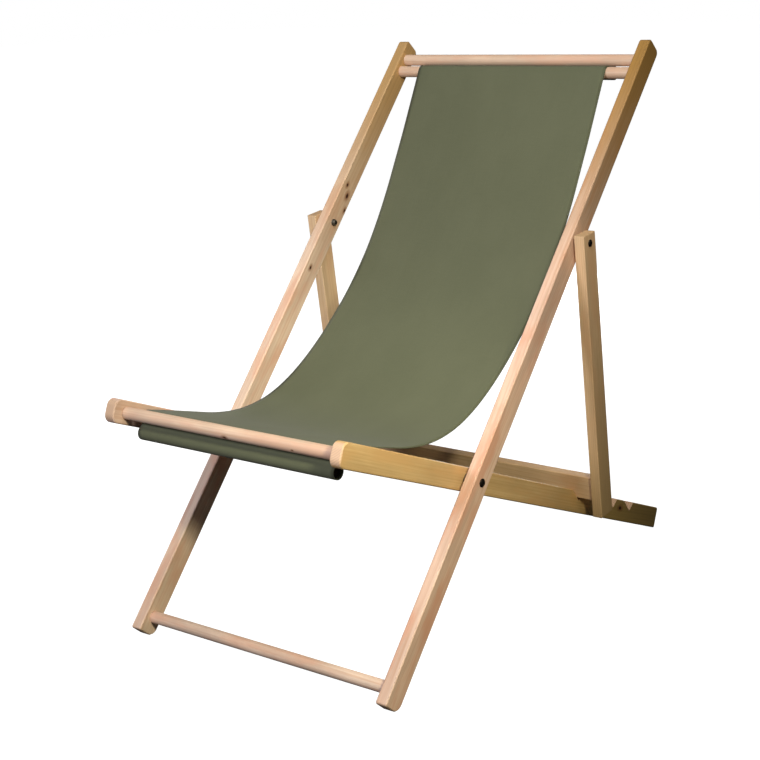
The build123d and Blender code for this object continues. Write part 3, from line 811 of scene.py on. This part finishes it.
def canvasMaterial(name):
    material, tree, shader = startMaterial(name)
    layout = addNode(tree, "ShaderNodeUVMap", uv_map="UVMap")
    laid = addStretch(tree, layout.outputs["UV"], (canvas["halfWidth"] * 2, slingLength, 1.0))
    parts = addNode(tree, "ShaderNodeSeparateXYZ")
    feed(tree, parts.inputs["Vector"], laid)
    warp, weft = [
        addMath(tree, "SINE", addMath(tree, "MULTIPLY", parts.outputs[axis], math.pi / weave[pitch]))
        for axis, pitch in (("X", "warpPitch"), ("Y", "weftPitch"))]
    height = addRange(tree, addMath(tree, "MULTIPLY", warp, weft), -1.0, 1.0, smooth=False)
    slubs = [addStreaks(tree, laid, weave[kind]) for kind in ("warpSlubs", "weftSlubs")]
    slubs = addMath(tree, "ADD", *slubs)
    slubbed = addMath(tree, "MULTIPLY", addRange(tree, slubs, *weave["slubRange"]), weave["slubShare"])
    fading = addStreaks(tree, laid, weave["fading"])
    faded = addRange(tree, fading, *weave["fadeRange"], 0.0, weave["fadeShare"])
    # painted shade in the low points of the weave
    valleys = addRange(tree, height, *weave["valleyRange"], weave["valleyShare"], 0.0)
    fromMiddle = addMath(tree, "SUBTRACT", parts.outputs["X"], canvas["halfWidth"])
    fromMiddle = addMath(tree, "ABSOLUTE", fromMiddle)
    lineFrom, lineTo = (canvas["halfWidth"] - inset for inset in weave["selvedge"])
    selvedge = addRange(tree, fromMiddle, lineFrom, lineTo, 0.0, weave["selvedgeShare"])
    body = weave["colour"]
    for share, tone in ((slubbed, "faded"), (faded, "faded"), (valleys, "valley"), (selvedge, "valley")):
        body = addMix(tree, share, body, weave[tone])
    feedAll(tree, shader, {
        "Base Color": body,
        "Roughness": addRange(tree, slubs, *weave["roughRange"], *weave["roughness"]),
        "Specular IOR Level": weave["specular"],
        "Sheen Weight": weave["sheen"],
        "Sheen Roughness": weave["sheenRoughness"]})
    relief = addMath(tree, "ADD", height, addMath(tree, "MULTIPLY", slubs, weave["slubRelief"]))
    addBump(tree, shader, relief, weave["bump"], weave["relief"])
    return material


sling.data.materials.append(canvasMaterial("slingCanvas"))

# Thread along the two hems, in millimetres
stitching = {
    "pitch": 5.0,
    "length": 3.4,
    "thickness": 0.7,
    "edgeGap": 6.0,
    "fromNeck": 2.2,
    "light": fromSrgb(128, 130, 106),
    "dark": fromSrgb(92, 95, 72),
    "twist": (900.0, 3000.0, 3000.0),  # per metre
    "twistRange": (0.3, 0.7),
    "roughness": (0.6, 0.8),
}


def threadMaterial():
    material, tree, shader = startMaterial("hemThread")
    coordinates = addNode(tree, "ShaderNodeTexCoord")
    twist = addStreaks(tree, coordinates.outputs["Object"], stitching["twist"], detail=2.0)
    shade = addRange(tree, twist, *stitching["twistRange"])
    feedAll(tree, shader, {
        "Base Color": addMix(tree, shade, stitching["light"], stitching["dark"]),
        "Roughness": addRange(tree, twist, *stitching["twistRange"], *stitching["roughness"])})
    return material


hemThread = threadMaterial()


def sewRow(name, along, lift, body):
    deselectAll()
    bpy.ops.mesh.primitive_uv_sphere_add(segments=8, ring_count=4, radius=0.5, location=(0, 0, 0))
    first = bpy.context.object
    first.name = name
    first.scale = (stitching["length"] * mm, stitching["thickness"] * mm, stitching["thickness"] * mm)
    bpy.ops.object.transform_apply(location=False, rotation=False, scale=True)
    reach = canvas["halfWidth"] - stitching["edgeGap"]
    count = int(2 * reach / stitching["pitch"]) + 1
    spots = [clothPoint((-reach + 2 * reach * i / (count - 1)) / canvas["halfWidth"], along, lift)
             for i in range(count)]
    row = [first]
    for spot in spots[1:]:
        extra = first.copy()
        extra.data = first.data.copy()
        bpy.context.collection.objects.link(extra)
        extra.location = spot
        row.append(extra)
    first.location = spots[0]
    makeActive(first)
    for item in row:
        item.select_set(True)
    bpy.ops.object.transform_apply(location=True, rotation=False, scale=False)
    bpy.ops.object.join()
    smoothAll(first)
    first.data.materials.append(hemThread)
    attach(first, body)
    return first


onFace = canvas["thickness"] / 2
hemRows = [
    sewRow("frontHemStitches", runs[marks["frontNeck"]] - stitching["fromNeck"], onFace, "seat_frame"),
    sewRow("topHemStitches", runs[marks["topNeck"]] + stitching["fromNeck"], onFace, "back_frame"),
]
print("hems sewn:", len(hemRows), "rows")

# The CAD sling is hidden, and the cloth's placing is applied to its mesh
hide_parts("sling")
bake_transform(sling)

# Studio: white to the eye, but the floor throws little light back up
studio = {
    "floorSize": 40.0,
    "floorTone": 0.30,
    "floorGlow": 1.0,
    "floorBounce": 0.04,
    "sky": 1.0,
    "skyLight": 0.05,
}
white = (1.0, 1.0, 1.0, 1.0)


def seenDirectly(tree, seen, otherwise):
    # one value where the camera looks straight at it, another for the light it gives
    eye = addNode(tree, "ShaderNodeLightPath").outputs["Is Camera Ray"]
    return addRange(tree, eye, 0.0, 1.0, otherwise, seen, smooth=False)


deselectAll()
bpy.ops.mesh.primitive_plane_add(size=studio["floorSize"], location=(0, 0, 0))
floor = bpy.context.object
floor.name = "studioFloor"
floorMaterial, floorTree, floorShader = startMaterial("studioFloor")
feedAll(floorTree, floorShader, {
    "Base Color": seenDirectly(floorTree, studio["floorTone"], studio["floorBounce"]),
    "Emission Strength": seenDirectly(floorTree, studio["floorGlow"], 0.0),
    "Emission Color": white,
    "Roughness": 1.0,
    "Specular IOR Level": 0.0})
floorMaterial.cycles.emission_sampling = "NONE"
floor.data.materials.append(floorMaterial)

world = bpy.data.worlds.new("studioSky")
world.use_nodes = True
feedAll(world.node_tree, world.node_tree.nodes["Background"], {
    "Color": white,
    "Strength": seenDirectly(world.node_tree, studio["sky"], studio["skyLight"])})
world.cycles.sampling_method = "NONE"
bpy.context.scene.world = world
bpy.context.scene.view_settings.view_transform = "Standard"

# Lamps in watts, metres and degrees: one with a cone is a soft-rimmed spot, any other a round panel
plainLight = (1.0, 1.0, 1.0)
lamps = {
    "sideLow": {"power": 86.0, "size": 0.22, "cone": 50, "tint": (1.0, 0.97, 0.72),
                "from": (1.4, -1.0, 1.19), "aim": (0.2, -0.45, 0.2)},
    "sideHigh": {"power": 155.0, "size": 0.22, "cone": 38, "tint": (1.0, 0.97, 0.80),
                 "from": (1.65, -1.35, 1.87), "aim": (-0.2, 0.14, 0.74)},
    "front": {"power": 33.0, "size": 0.6, "tint": (0.98, 0.99, 1.14),
              "from": (-0.4, -2.6, 1.6), "aim": (0.0, -0.1, 0.45)},
    "right": {"power": 26.0, "size": 0.3, "cone": 19, "tint": plainLight,
              "from": (0.45, -2.6, 1.6), "aim": (0.32, 0.15, 0.36)},
    "above": {"power": 9.5, "size": 0.8, "tint": plainLight,
              "from": (0.6, -0.4, 2.0), "aim": (0.0, -0.1, 0.45)},
    "left": {"power": 22.0, "size": 0.8, "tint": plainLight,
             "from": (-2.4, 0.3, 0.9), "aim": (0.0, 0.0, 0.45)},
    "back": {"power": 50.0, "size": 0.9, "tint": plainLight,
             "from": (-0.9, 2.9, 0.6), "aim": (0.0, 0.1, 0.45)},
}


def addLamp(name, lamp):
    light = bpy.data.lights.new(name, "SPOT" if "cone" in lamp else "AREA")
    light.energy = lamp["power"]
    light.color = lamp["tint"]
    if "cone" in lamp:
        light.spot_size = math.radians(lamp["cone"])
        light.spot_blend = 1.0
        light.shadow_soft_size = lamp["size"] / 2
    else:
        light.shape = "DISK"
        light.size = lamp["size"]
    item = bpy.data.objects.new(name, light)
    bpy.context.collection.objects.link(item)
    item.visible_camera = False
    item.location = lamp["from"]
    towards = Vector(lamp["aim"]) - Vector(lamp["from"])
    item.rotation_euler = towards.to_track_quat("-Z", "Y").to_euler()


for name, lamp in lamps.items():
    addLamp(name + "Lamp", lamp)

# Camera, from the photograph's own perspective
view = {
    "lens": 72.657,
    "sensor": 36.0,
    "yaw": math.radians(37.955),
    "pitch": math.radians(16.1025),
    "roll": math.radians(-2.7546),
    "place": (1.6485, -2.17707, 1.1483),
    "shift": (-0.00596, 0.03022),
}
cameraData = bpy.data.cameras.new("photoView")
cameraData.lens = view["lens"]
cameraData.sensor_width = view["sensor"]
cameraData.shift_x, cameraData.shift_y = view["shift"]
cameraData.clip_end = 100.0
camera = bpy.data.objects.new("photoView", cameraData)
bpy.context.collection.objects.link(camera)
ahead = Vector((
    -math.sin(view["yaw"]) * math.cos(view["pitch"]),
    math.cos(view["yaw"]) * math.cos(view["pitch"]),
    -math.sin(view["pitch"])))
level = Vector((math.cos(view["yaw"]), math.sin(view["yaw"]), 0.0))
upward = level.cross(ahead)
rolledRight = level * math.cos(view["roll"]) + upward * math.sin(view["roll"])
rolledUp = upward * math.cos(view["roll"]) - level * math.sin(view["roll"])
camera.matrix_world = Matrix((
    (rolledRight.x, rolledUp.x, -ahead.x, view["place"][0]),
    (rolledRight.y, rolledUp.y, -ahead.y, view["place"][1]),
    (rolledRight.z, rolledUp.z, -ahead.z, view["place"][2]),
    (0.0, 0.0, 0.0, 1.0)))
bpy.context.scene.camera = camera
print("light and camera set")
